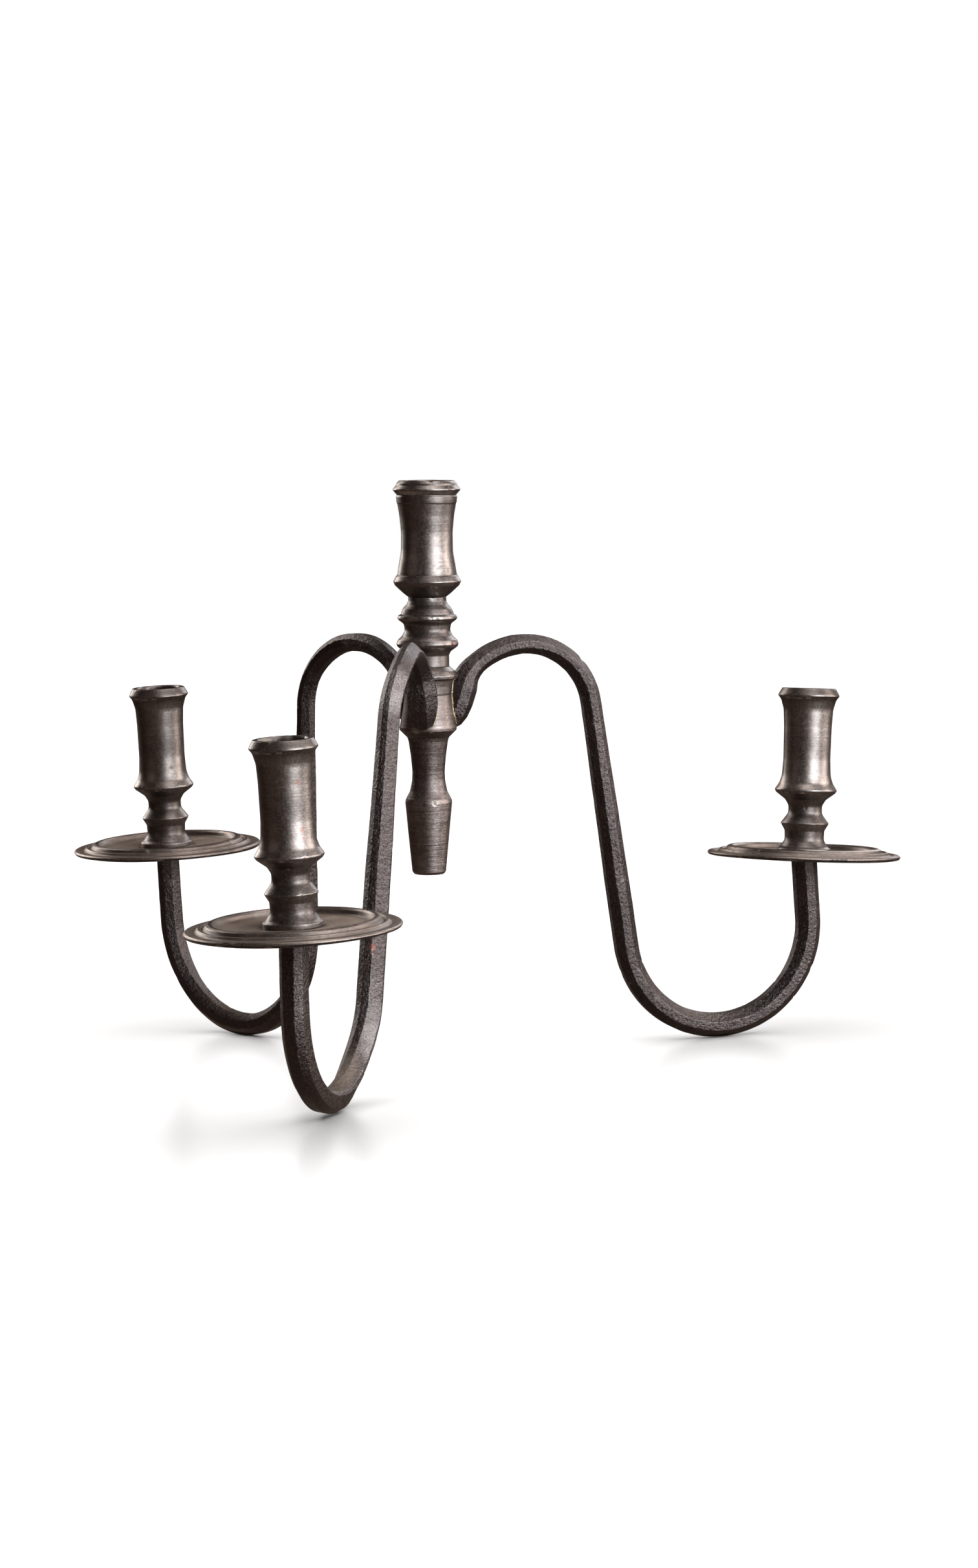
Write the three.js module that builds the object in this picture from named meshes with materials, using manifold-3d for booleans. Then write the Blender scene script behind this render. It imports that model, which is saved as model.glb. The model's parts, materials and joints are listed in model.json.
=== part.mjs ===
// Four-light candelabrum head. A turned stem ends in a tapered plug that drops into a candlestick, and
// carries a candle socket on top. Three cast octagonal arms, brazed to a spool on the stem, rise over a
// crest, drop down a straight leg, and turn up through a bend to a drip pan and a candle socket each.
//
// Millimetres, +Z up. The origin is the centre of the plug's flat lower end, and the first arm lies
// over +X. The head stands on the undersides of its three bends.

import * as THREE from 'three';
import { mergeVertices } from 'three/addons/utils/BufferGeometryUtils.js';
import Module from 'manifold-3d';

const wasm = await Module();
wasm.setup();

// ---- Driving dimensions -------------------------------------------------------------------------

const PLUG_LENGTH = 36.5;
const PLUG_TIP_RADIUS = 8.4;
const PLUG_TOP_RADIUS = 11.9;

const SPOOL_BOTTOM = 73.2;
const SPOOL_SEAM = 91.3;
const SPOOL_TOP = 105.25;
const SPOOL_TOP_RADIUS = 11.2;
const KNOP_TOP = 140.25;
const SOCKET_TOP = 198.8;

const CANDLE_BORE_RADIUS = 11;
const CANDLE_BORE_DEPTH = 35.5;

const JOINT_GAP = 0.3;
const ROD_RADIUS = 4;
const ROD_HOLE_RADIUS = 4.1;
const ROD_BOTTOM = 62;
const STUD_RADIUS = 3;
const STUD_HOLE_RADIUS = 3.1;
const STUD_IN_ARM = 9;
const STUD_IN_SOCKET = 13.5;
const HOLE_END_GAP = 1;

const PAN_RADIUS = 50.5;
const PAN_FLOOR = 0.8;
const PAN_UNDERSIDE = -1.7;
const PAN_BOSS_UNDERSIDE = -2.7;

const ARM_SOCKET_TOP = 87;

// The crests are alike on all three arms. The rest differs from arm to arm, as on any piece bent and
// brazed by hand. Heights are above the plug's end, angles are in degrees: the swing is how far the
// foot and the crest stand round the stem from the line of the pan, and the hang is how far the bend
// leans sideways below its pan. Both come in along the leg, between the two swing radii. The stretch
// is a short level run at the top of the crest.
const CREST = { radius: 52, height: 115.4, inner: 41, outer: 35.7 };
const FOOT = { crestTurn: 42, heel: 20, heelTurn: 30, length: 22 };
const SWING_RADII = [60, 130];
const RISE_OVERRUN = 6;
const ARMS = [
  {
    azimuth: 0, girth: 1, swing: 0, stretch: 0, legLean: 8.5, bend: -85.8, hang: 0,
    riseLean: 3.8, reach: 205.3, pan: 1.5, leanOut: 3, leanSide: 2.7,
  },
  {
    azimuth: 117.7, girth: 0.93, swing: -2.3, stretch: 2.8, legLean: 2, bend: -93.4, hang: 3.5,
    riseLean: -0.3, reach: 202, pan: -1.3, leanOut: 0.9, leanSide: 2.5,
  },
  {
    azimuth: 235.3, girth: 1, swing: 8.2, stretch: 0, legLean: 9.3, bend: -88.7, hang: -1.2,
    riseLean: 1.7, reach: 205.8, pan: -1.2, leanOut: 1.6, leanSide: -2.2,
  },
];

// Width across flats of the octagonal bar, against the distance along it from the tip of its foot.
const BAR_WIDTHS = [
  [0, 6], [1.5, 9], [6, 12.4], [12, 14], [20, 14], [27, 11.8], [34, 10.4], [50, 9.9], [125, 10],
  [180, 11.3], [210, 11.8], [480, 12.5],
];
const BAR_ASPECT = 1.06;

const BRAZE_WIDTH = 1.2;
const BRAZE_HEIGHT = 1.1;

// ---- Materials ----------------------------------------------------------------------------------

const metal = (color, roughness) => new THREE.MeshStandardMaterial({ color, roughness, metalness: 0.9 });
const turnedMetal = metal('#5d544e', 0.38);
const castMetal = metal('#4c4542', 0.5);
const panMetal = metal('#6b6257', 0.52);
const brazeMetal = metal('#8d7342', 0.45);
const studMetal = metal('#86765a', 0.4);

// ---- Shape helpers ------------------------------------------------------------------------------

const rad = THREE.MathUtils.degToRad;
const UP = new THREE.Vector3(0, 0, 1);

// A closed geometry as a solid that can be cut. Triangles that shrink to a line at a lathe's axis are
// dropped, and a surface that comes out facing inwards is turned over.
function toSolid(geometry) {
  const bare = geometry.clone();
  bare.deleteAttribute('normal');
  bare.deleteAttribute('uv');
  const merged = mergeVertices(bare, 1e-4);
  const corners = merged.index.array;
  const kept = [];
  for (let i = 0; i < corners.length; i += 3) {
    const [a, b, c] = [corners[i], corners[i + 1], corners[i + 2]];
    if (a !== b && b !== c && c !== a) kept.push(a, b, c);
  }
  const build = (triVerts) => new wasm.Manifold(new wasm.Mesh({
    numProp: 3,
    vertProperties: new Float32Array(merged.attributes.position.array),
    triVerts: new Uint32Array(triVerts),
  }));
  const solid = build(kept);
  return solid.volume() > 0 ? solid : build(kept.reverse());
}

function toGeometry(solid) {
  const mesh = solid.getMesh();
  const geometry = new THREE.BufferGeometry();
  geometry.setAttribute('position', new THREE.BufferAttribute(mesh.vertProperties, 3));
  geometry.setIndex(new THREE.BufferAttribute(mesh.triVerts, 1));
  geometry.computeVertexNormals();
  return geometry;
}

// A solid of revolution about Z from [radius, height] pairs. The outline runs from the axis back to
// the axis, or closes on itself where the piece has a hole right through.
function turned(outline, segments) {
  const points = outline.map(([radius, height]) => new THREE.Vector2(radius, height));
  return toSolid(new THREE.LatheGeometry(points, segments).rotateX(Math.PI / 2));
}

function ring(outline, segments) {
  return turned([...outline, outline[0]], segments);
}

function piece(name, solid, material) {
  const mesh = new THREE.Mesh(toGeometry(solid), material);
  mesh.name = name;
  return mesh;
}

// ---- Central column -----------------------------------------------------------------------------

const COLUMN_SEGMENTS = 24;

// The outside of the spool that the arms are brazed to: a waisted body under a ring.
const SPOOL_SIDE = [
  [14.4, SPOOL_BOTTOM], [14.5, 74.5], [13.4, 80], [12.5, 85.5], [12, SPOOL_SEAM],
  [12.3, 95.5], [13, 98.8], [14.7, 99.5], [14.9, 100.8], [13.6, 103.1],
];

function plugStem() {
  const lowerSpool = SPOOL_SIDE.filter(([, height]) => height < SPOOL_SEAM);
  return turned([
    [0, 0], [PLUG_TIP_RADIUS - 0.6, 0], [PLUG_TIP_RADIUS + 0.15, 1.3],
    [PLUG_TOP_RADIUS, PLUG_LENGTH], [11.6, 38.1], [9.5, 42.1], [8.4, 47.5], [8.2, 52],
    [8.9, 60], [10, 67.7], [10.6, 69.4], ...lowerSpool, [12, SPOOL_SEAM - JOINT_GAP / 2],
    [ROD_HOLE_RADIUS, SPOOL_SEAM - JOINT_GAP / 2],
    [ROD_HOLE_RADIUS, ROD_BOTTOM - HOLE_END_GAP], [0, ROD_BOTTOM - HOLE_END_GAP],
  ], COLUMN_SEGMENTS);
}

function spoolCap() {
  const upperSpool = SPOOL_SIDE.filter(([, height]) => height > SPOOL_SEAM);
  return ring([
    [ROD_HOLE_RADIUS, SPOOL_SEAM + JOINT_GAP / 2], [12, SPOOL_SEAM + JOINT_GAP / 2], ...upperSpool,
    [SPOOL_TOP_RADIUS, SPOOL_TOP - JOINT_GAP / 2], [ROD_HOLE_RADIUS, SPOOL_TOP - JOINT_GAP / 2],
  ], COLUMN_SEGMENTS);
}

function centreKnop() {
  return ring([
    [ROD_HOLE_RADIUS, SPOOL_TOP + JOINT_GAP / 2], [10.9, SPOOL_TOP + JOINT_GAP / 2], [10.9, 111],
    [11.9, 112.9], [14.6, 114.8], [15.8, 116.7], [15, 118.8], [12.9, 120.8], [11.5, 123.5],
    [12, 126.8], [14.4, 128.6], [15.2, 129.9], [13.3, 131.8], [12.4, 134.5], [10.5, 136.6],
    [9.6, 138.4], [9.6, KNOP_TOP - JOINT_GAP / 2], [ROD_HOLE_RADIUS, KNOP_TOP - JOINT_GAP / 2],
  ], COLUMN_SEGMENTS);
}

const SOCKET_ROD_DEPTH = 12;

function centralCandleSocket() {
  const foot = KNOP_TOP + JOINT_GAP / 2;
  const seat = SOCKET_TOP - CANDLE_BORE_DEPTH;
  return turned([
    [0, seat], [CANDLE_BORE_RADIUS, seat], [CANDLE_BORE_RADIUS, SOCKET_TOP - 1.2],
    [CANDLE_BORE_RADIUS + 0.9, SOCKET_TOP], [14, SOCKET_TOP], [15.4, 197.2], [17.3, 194.3],
    [15.3, 191.8], [15, 187.4], [13.8, 181.3], [13, 173], [13.1, 163], [14, 158], [15.3, 153.8],
    [15.4, 151.6], [17.2, 148.2], [16.2, 146.1], [12, 142.2], [9.6, foot],
    [ROD_HOLE_RADIUS, foot], [ROD_HOLE_RADIUS, foot + SOCKET_ROD_DEPTH], [0, foot + SOCKET_ROD_DEPTH],
  ], COLUMN_SEGMENTS);
}

// A plain stud with chamfered ends, standing for a threaded one.
const STUD_SEGMENTS = 12;

function stud(radius, bottom, top) {
  const chamfer = 0.6;
  return turned([
    [0, bottom], [radius - chamfer, bottom], [radius, bottom + chamfer],
    [radius, top - chamfer], [radius - chamfer, top], [0, top],
  ], STUD_SEGMENTS);
}

// ---- Arms ---------------------------------------------------------------------------------------

// The arm's centreline in its own upright plane, from the tip of the foot to past the pan: x is the
// distance from the stem's axis, y the height.
function armCentreline(arm) {
  const { radius, height, inner, outer } = CREST;
  const outerX = radius + arm.stretch;
  const lean = rad(arm.legLean);
  const rise = rad(arm.riseLean);

  const crestTurn = rad(FOOT.crestTurn);
  const heelTurn = rad(FOOT.heelTurn);
  const heelStart = polar(radius, height - inner, inner, Math.PI / 2 + crestTurn);
  const heelCentre = polar(heelStart.x, heelStart.y, -FOOT.heel, Math.PI / 2 + crestTurn);
  const heelEnd = polar(heelCentre.x, heelCentre.y, FOOT.heel, Math.PI / 2 + crestTurn + heelTurn);
  const tip = polar(heelEnd.x, heelEnd.y, FOOT.length, Math.PI + crestTurn + heelTurn);

  // The bend is the circle that touches the leg, the rise and the height it stands at.
  const legTop = polar(outerX, height - outer, outer, lean);
  const across = arm.reach - legTop.x + (arm.bend - legTop.y) * Math.tan(lean)
    - (arm.bend - arm.pan) * Math.tan(rise);
  const share = (1 - Math.sin(lean)) / Math.cos(lean) + (1 + Math.sin(rise)) / Math.cos(rise);
  const bend = across / share;
  const bendY = arm.bend + bend;
  const bendX = arm.reach - (bend + (bendY - arm.pan) * Math.sin(rise)) / Math.cos(rise);

  const line = new THREE.Path();
  line.moveTo(tip.x, tip.y);
  line.lineTo(heelEnd.x, heelEnd.y);
  line.absarc(heelCentre.x, heelCentre.y, FOOT.heel, Math.PI / 2 + crestTurn + heelTurn,
    Math.PI / 2 + crestTurn, true);
  line.absarc(radius, height - inner, inner, Math.PI / 2 + crestTurn, Math.PI / 2, true);
  line.absarc(outerX, height - outer, outer, Math.PI / 2, lean, true);
  line.absarc(bendX, bendY, bend, Math.PI + lean, 2 * Math.PI + rise, false);
  line.lineTo(arm.reach - RISE_OVERRUN * Math.tan(rise), arm.pan + RISE_OVERRUN);
  return line;
}

function polar(x, y, radius, angle) {
  return new THREE.Vector2(x + radius * Math.cos(angle), y + radius * Math.sin(angle));
}

// Carries a point of that plane to where the arm really runs.
function carried(arm, { x, y }) {
  const out = THREE.MathUtils.smoothstep(x, ...SWING_RADII);
  const aside = Math.tan(rad(arm.hang)) * (y - arm.pan) * out;
  return new THREE.Vector3(x, aside, y).applyAxisAngle(UP, rad(arm.swing) * (1 - out));
}

function barWidth(distance) {
  const next = BAR_WIDTHS.findIndex(([at]) => at > distance);
  if (next < 1) return BAR_WIDTHS.at(next)[1];
  const [[at0, width0], [at1, width1]] = [BAR_WIDTHS[next - 1], BAR_WIDTHS[next]];
  return THREE.MathUtils.mapLinear(distance, at0, at1, width0, width1);
}

// Where the bar's sections stand: close together on the foot and the arcs, sparse on straight runs.
// Each has its own frame: along the bar, sideways across it, and out of the arm's hollow side. A path
// joins its arcs with lines of next to no length, which are passed over.
function stations(arm) {
  const found = [];
  let start = 0;
  for (const curve of armCentreline(arm).curves.filter((part) => part.getLength() > 0.001)) {
    const length = curve.getLength();
    const isFoot = start === 0;
    const isArc = curve instanceof THREE.EllipseCurve;
    const turn = isArc ? Math.abs(curve.aEndAngle - curve.aStartAngle) : 0;
    const steps = isFoot ? 7 : Math.max(4, Math.ceil(turn / rad(10)));
    for (let i = found.length ? 1 : 0; i <= steps; i += 1) {
      const point = curve.getPoint(i / steps);
      const tangent = curve.getTangent(i / steps);
      const at = carried(arm, point);
      const along = carried(arm, point.clone().add(tangent)).sub(carried(arm, point.clone().sub(tangent)));
      along.normalize();
      const sideways = new THREE.Vector3(-at.y, at.x, 0).projectOnPlane(along).normalize();
      const outward = along.clone().cross(sideways);
      found.push({ at, along, sideways, outward, distance: start + (i / steps) * length });
    }
    start += length;
  }
  return found;
}

// An octagonal bar along the arm. A straight extruded bar of the same number of steps is bent: each of
// its sections is moved to a station, turned across the line there and sized to the bar. The extra is
// how far the bar's faces and its foot's end stand out beyond the real ones.
function bar(arm, extra) {
  const places = stations(arm);
  places[0].at.addScaledVector(places[0].along, -extra);
  const octagon = new THREE.Shape();
  for (let i = 0; i < 8; i += 1) {
    const corner = polar(0, 0, 0.5 / Math.cos(Math.PI / 8), rad(22.5 + 45 * i));
    if (i === 0) octagon.moveTo(corner.x, corner.y);
    else octagon.lineTo(corner.x, corner.y);
  }
  const steps = places.length - 1;
  const geometry = new THREE.ExtrudeGeometry(octagon, { depth: steps, steps, bevelEnabled: false });
  const { position } = geometry.attributes;
  for (let i = 0; i < position.count; i += 1) {
    const { at, sideways, outward, distance } = places[Math.round(position.getZ(i))];
    const width = arm.girth * barWidth(distance);
    const corner = at.clone()
      .addScaledVector(outward, position.getX(i) * (width + 2 * extra))
      .addScaledVector(sideways, position.getY(i) * (width * BAR_ASPECT + 2 * extra));
    position.setXYZ(i, corner.x, corner.y, corner.z);
  }
  return toSolid(geometry);
}

// A block of space around the spool, standing off its surface by the given distance. It runs on above
// the spool, past the foot's end.
function aroundSpool(stand) {
  const ceiling = SPOOL_TOP + 8;
  const [, ...side] = SPOOL_SIDE.map(([radius, height]) => [radius + stand, height]);
  return turned([
    [0, SPOOL_BOTTOM - stand], [SPOOL_SIDE[0][0] + stand, SPOOL_BOTTOM - stand], ...side,
    [SPOOL_TOP_RADIUS + stand, ceiling], [0, ceiling],
  ], COLUMN_SEGMENTS);
}

function inPanFrame(arm) {
  const axis = new THREE.Vector3(Math.tan(rad(arm.leanOut)), Math.tan(rad(arm.leanSide)), 1);
  const turn = new THREE.Quaternion().setFromUnitVectors(UP, axis.normalize());
  return { turn, place: new THREE.Vector3(arm.reach, 0, arm.pan) };
}

function placed(solid, { turn, place }) {
  const matrix = new THREE.Matrix4().compose(place, turn, new THREE.Vector3(1, 1, 1));
  return solid.transform(matrix.elements);
}

// Cutting a foot round the spool can leave a sliver beyond it: only the main body is kept.
function mainBody(solid) {
  return solid.decompose().sort((a, b) => b.volume() - a.volume())[0];
}

function cylinder(radius, bottom, top, segments) {
  return turned([[0, bottom], [radius, bottom], [radius, top], [0, top]], segments);
}

function armSolid(arm) {
  const frame = inPanFrame(arm);
  const seat = PAN_BOSS_UNDERSIDE - JOINT_GAP;
  const abovePan = cylinder(3 * STUD_IN_ARM, seat, seat + 3 * RISE_OVERRUN, 8);
  const hole = cylinder(STUD_HOLE_RADIUS, seat - STUD_IN_ARM - HOLE_END_GAP, seat + 1, STUD_SEGMENTS);
  return mainBody(bar(arm, 0)
    .subtract(aroundSpool(JOINT_GAP))
    .subtract(placed(abovePan, frame))
    .subtract(placed(hole, frame)));
}

// The bead of braze that runs round the foot where it meets the spool.
function brazeSolid(arm) {
  return mainBody(bar(arm, BRAZE_WIDTH)
    .intersect(aroundSpool(BRAZE_HEIGHT))
    .subtract(aroundSpool(JOINT_GAP / 2))
    .subtract(bar(arm, JOINT_GAP)));
}

// ---- Pans and arm sockets, in a frame at the middle of the pan's rim ----------------------------

function dripPan() {
  return ring([
    [STUD_HOLE_RADIUS, PAN_FLOOR], [35.6, PAN_FLOOR], [36.9, 3.1], [38.4, 4], [40, 3.6],
    [42, 2.1], [43.6, 2.2], [45.6, 1], [48, 1.2], [PAN_RADIUS - 0.6, 0.8], [PAN_RADIUS, -0.1],
    [PAN_RADIUS - 0.7, -1.3], [48, PAN_UNDERSIDE], [9.4, PAN_UNDERSIDE], [8.6, PAN_BOSS_UNDERSIDE],
    [STUD_HOLE_RADIUS, PAN_BOSS_UNDERSIDE],
  ], 36);
}

function armCandleSocket() {
  const foot = PAN_FLOOR + JOINT_GAP;
  const seat = ARM_SOCKET_TOP - CANDLE_BORE_DEPTH;
  return turned([
    [0, seat], [CANDLE_BORE_RADIUS, seat], [CANDLE_BORE_RADIUS, ARM_SOCKET_TOP - 1],
    [CANDLE_BORE_RADIUS + 0.7, ARM_SOCKET_TOP], [14.2, ARM_SOCKET_TOP], [16, 83], [14.7, 81.2],
    [13, 76], [12.5, 67], [12.3, 50], [12.8, 41], [14.1, 37.2], [16.4, 33.7], [15.3, 32.1],
    [10.7, 28.7], [8.8, 25.6], [8.8, 21.5], [12.6, 16.4], [10.4, 12.5], [10.2, 7.5], [14, 3],
    [14, foot], [STUD_HOLE_RADIUS, foot], [STUD_HOLE_RADIUS, foot + STUD_IN_SOCKET + HOLE_END_GAP],
    [0, foot + STUD_IN_SOCKET + HOLE_END_GAP],
  ], 24);
}

// ---- Assembly -----------------------------------------------------------------------------------

const head = new THREE.Group();
head.add(
  piece('plug_stem', plugStem(), turnedMetal),
  piece('spool_cap', spoolCap(), turnedMetal),
  piece('centre_knop', centreKnop(), turnedMetal),
  piece('central_candle_socket', centralCandleSocket(), turnedMetal),
  piece('tie_rod', stud(ROD_RADIUS, ROD_BOTTOM, KNOP_TOP + SOCKET_ROD_DEPTH - HOLE_END_GAP), studMetal),
);

ARMS.forEach((arm, index) => {
  const number = index + 1;
  const branch = new THREE.Group();
  branch.rotation.z = rad(arm.azimuth);
  branch.add(piece(`arm_${number}`, armSolid(arm), castMetal));
  branch.add(piece(`arm_braze_${number}`, brazeSolid(arm), brazeMetal));

  const light = new THREE.Group();
  const { turn, place } = inPanFrame(arm);
  light.quaternion.copy(turn);
  light.position.copy(place);
  const studBottom = PAN_BOSS_UNDERSIDE - JOINT_GAP - STUD_IN_ARM;
  const studTop = PAN_FLOOR + JOINT_GAP + STUD_IN_SOCKET;
  light.add(
    piece(`arm_stud_${number}`, stud(STUD_RADIUS, studBottom, studTop), studMetal),
    piece(`drip_pan_${number}`, dripPan(), panMetal),
    piece(`candle_socket_${number}`, armCandleSocket(), turnedMetal),
  );
  branch.add(light);
  head.add(branch);
});

export default head;
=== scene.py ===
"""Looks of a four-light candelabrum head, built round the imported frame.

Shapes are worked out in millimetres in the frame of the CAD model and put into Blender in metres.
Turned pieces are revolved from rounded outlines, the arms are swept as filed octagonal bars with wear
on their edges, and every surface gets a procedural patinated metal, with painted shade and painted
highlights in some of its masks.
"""

import json
import math

import bmesh
import bpy
import numpy as np
from mathutils import Matrix, Vector


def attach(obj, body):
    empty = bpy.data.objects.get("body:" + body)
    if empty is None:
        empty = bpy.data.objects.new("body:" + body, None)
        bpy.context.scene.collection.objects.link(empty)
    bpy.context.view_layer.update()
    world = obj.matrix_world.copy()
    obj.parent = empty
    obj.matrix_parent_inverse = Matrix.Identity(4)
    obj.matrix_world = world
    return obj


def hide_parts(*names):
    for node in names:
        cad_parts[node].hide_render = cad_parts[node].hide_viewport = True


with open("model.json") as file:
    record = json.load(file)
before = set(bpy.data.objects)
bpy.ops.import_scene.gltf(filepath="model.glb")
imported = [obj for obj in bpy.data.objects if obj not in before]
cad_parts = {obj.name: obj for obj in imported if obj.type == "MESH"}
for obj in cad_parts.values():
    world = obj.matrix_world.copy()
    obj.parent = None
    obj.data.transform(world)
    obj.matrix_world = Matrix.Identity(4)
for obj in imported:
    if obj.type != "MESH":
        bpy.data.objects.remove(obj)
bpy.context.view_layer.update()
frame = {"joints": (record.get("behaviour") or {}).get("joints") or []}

MM = 0.001
UPRIGHT = Matrix.Identity(4)
JOINTS = {joint["name"]: joint for joint in frame["joints"]}

# ---- Dimensions, in millimetres and degrees -------------------------------------------------------

# Heights on the stem, above the plug's lower end.
PLUG_LENGTH = 36.5
SPOOL_BOTTOM = 73.2
SPOOL_SEAM = 91.3
SPOOL_TOP = 105.25
KNOP_TOP = 140.25
SOCKET_TOP = 198.8

# Heights on an arm's pan and socket, above the origin of the socket's joint.
PAN_SEAT = -2.7
PAN_FLOOR = 0.8
ARM_SOCKET_TOP = 87.0

# The candle bores, and the threads that hold the turned pieces together.
BORE = 11.0
SEAT_DEPTH = 35.5
CENTRAL_SEAT = SOCKET_TOP - SEAT_DEPTH
ARM_SEAT = ARM_SOCKET_TOP - SEAT_DEPTH
THREAD_PITCH = 1.5
THREAD_DEPTH = 0.55 * THREAD_PITCH
THREAD_CHAMFER = 0.8
ROD_RADIUS, ROD_HOLE = 4, 4.1
STUD_RADIUS, STUD_HOLE = 3, 3.12

# What is left open between two pieces that touch.
GAP = 0.12

# An arm's shape in its upright plane. The crest is two arcs of their own radius, inside and outside
# its top, and the foot is one arc (the heel) and a straight length that runs into the spool.
CREST = {"radius": 52.0, "height": 115.4, "inner": 41.0, "outer": 35.7}
FOOT = {"crest_turn": 42.0, "heel": 20.0, "heel_turn": 30.0, "length": 22.0}

# Between these distances from the stem, an arm goes over from its foot's direction to its pan's.
SWING_RADII = (60.0, 130.0)

# The hand-bent arms differ. The girth is a factor on the bar's width, the swing and the hang turn the
# foot and the bend sideways, and the twist turns the section, by distance along the bar.
ARMS = [
    dict(azimuth=0.0, girth=1.0, swing=0.0, stretch=0.0, leg_lean=8.5, bend=-85.8, hang=0.0,
         rise_lean=3.8, reach=205.3, pan=1.5, twist=[(0, 0)]),
    dict(azimuth=117.7, girth=0.93, swing=-2.3, stretch=2.8, leg_lean=2.0, bend=-93.4, hang=3.5,
         rise_lean=-0.3, reach=202.0, pan=-1.3, twist=[(0, 0)]),
    dict(azimuth=235.3, girth=1.0, swing=8.2, stretch=0.0, leg_lean=9.3, bend=-88.7, hang=-1.2,
         rise_lean=1.7, reach=205.8, pan=-1.2, twist=[(250, 0), (290, -8), (322, -38)]),
]

# The bar's width by distance from the foot's tip, and how far each of its eight flats lies from the
# middle, against half that width. The first flat faces out, the third sideways.
BAR_WIDTHS = [(0, 6), (1.5, 9), (6, 12.4), (12, 14), (20, 14), (27, 11.8), (34, 10.4), (50, 9.9),
              (125, 10), (180, 11.3), (210, 11.8), (480, 12.5)]
BAR_SECTION = (1.0, 1.03, 1.06, 1.03, 1.0, 1.03, 1.06, 1.03)
BAR_CORNER = 0.75
BAR_STEP = 0.9
FLAT_POINTS, CORNER_POINTS = 4, 4
SIDE_POINTS = FLAT_POINTS + CORNER_POINTS

# The bar stops this far short of the pan, and its last edge is chamfered.
BAR_CLEARANCE = 0.6
BAR_CHAMFER = 0.35

# The foot meets the spool within this distance of its tip. The outline of the spool is as in the
# pieces below, as (radius, height).
FOOT_REACH = 46
SPOOL_SIDE = [(14.4, 73.2), (14.5, 74.5), (13.4, 80), (12.5, 85.5), (12, 91.3), (12.3, 95.5),
              (13, 98.8), (14.7, 99.5), (14.9, 100.8), (13.6, 103.1), (11.2, 105.25)]

# The bead of braze round the foot: the spacing of its rings, the points on each, its mean radius and
# the limits of it.
BEAD_STEP = 0.8
BEAD_POINTS = 12
BEAD_RADIUS = 0.62
BEAD_LIMITS = (0.3, 0.95)

# ---- Wear, soot, dust, painted shade and painted highlights ---------------------------------------

# A surface carries four painted masks: wear, partly painted highlights; soot together with painted
# shade;
# dust; and copper-red stains. A wear strength may pass 1, since the metal gets lighter by only 15
# percent for each 1 of it.
MASKS = ("wear_and_highlight", "soot_and_shade", "dust", "rouge")

# A nick this deep is rubbed fully bright. On a turned piece, nicks come only where the outline bends
# this sharply outwards, and outside this radius.
BRIGHT_DENT = 0.12
NICKED_BEND = 0.25
NICKED_RADIUS = 8

# How far each of an arm's eight flats is filed below the regular section, and the slow waves in every
# flat, as (pitch, size). The waves fade in over the first stretch of the foot.
FLAT_WEAR = [
    [0, 0.1, 0, 0, 0, 0.1, 0, 0.25],
    [0, 0.1, 0, 0.1, 0, 0, 0, 0.1],
    [0, 1.1, 0, 0.7, 0, 0.3, 0, 0.1],
]
FLAT_WAVES = ((17, 0.07), (4, 0.035))
TWIST_WAVE = (60, 0.02)
WAVES_FADE_IN = 30

# The nicks along an arm's edges.
ARM_NICKS = 46
ARM_NICK_SIZE = (0.8, 2.6)
ARM_NICK_DEPTH = (0.08, 0.34)

# Painted shade lies under every arm and on one flat of the near arm, by the arm's index, and dust lies
# inside each bend. They come in, and the flat's painted shade goes out, between these depths below the
# stem's end.
UNDERSIDE_SHADE, FLAT_SHADE = 0.4, 0.5
SHADED_FLAT = {2: 2}
SHADED_FROM, SHADED_TO = (10, 30), (60, 80)
BEND_DUST = [0.35, 0.5, 1.0]
DUSTY_FROM = (62, 82)
DUSTY_SLOPE = (0.4, 0.8)

# Single marks on the arms, as (x, y, z, size, depth, mask, strength). The bright ones on the near
# arm's leg and crest are painted highlights; the red ones are stains.
ARM_SCARS = [
    [],
    [],
    [(-57.4, -94.9, -22.4, 2.6, 0.3, "rouge", 0.8), (-57.6, -95.6, -25.5, 1.8, 0.2, "rouge", 0.6),
     (-59.2, -97.5, -41.8, 9, 0, "wear_and_highlight", 1.2), (-59.0, -99.1, -52.7, 9, 0, "wear_and_highlight", 1.8),
     (-59.1, -101.9, -63.4, 9, 0, "wear_and_highlight", 3.2), (-61.3, -103.6, -72.6, 8, 0, "wear_and_highlight", 3.0),
     (-37.5, -73.0, 104.0, 8, 0, "wear_and_highlight", 2.5), (-40.0, -77.0, 95.0, 9, 0, "wear_and_highlight", 3.0)],
]

# Single marks on the turned pieces, in their own frames, as (azimuth, radius, height, size, depth,
# mask, strength). The first pan's four are a row of notches in its rim. Soot marks without a dent
# darken stains; in a dent they are dirt and painted shade.
PLUG_SCARS = [
    (-92, 12, 36.6, 1.3, 0.45, "soot_and_shade", 0.7), (-121, 12, 36.3, 1.1, 0.3, "soot_and_shade", 0.6),
    (-84, 11.4, 30.0, 1.4, 0.12, "soot_and_shade", 0.5), (-75, 10.5, 22, 1.2, 0.12, "soot_and_shade", 0.5),
]
KNOP_SCARS = [(-50, 15.8, 116.7, 2.0, 0.3, "rouge", 0.8), (-88, 15.2, 129.8, 1.5, 0.35, "soot_and_shade", 0.8)]
CENTRAL_SCARS = [
    (-62, 17.2, 194.4, 2.2, 0.5, "soot_and_shade", 0.6), (-98, 14, 198.8, 1.6, 0.4, "soot_and_shade", 0.8),
    (-60, 14.6, 154, 2.0, 0.25, "soot_and_shade", 0.5),
]
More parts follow.
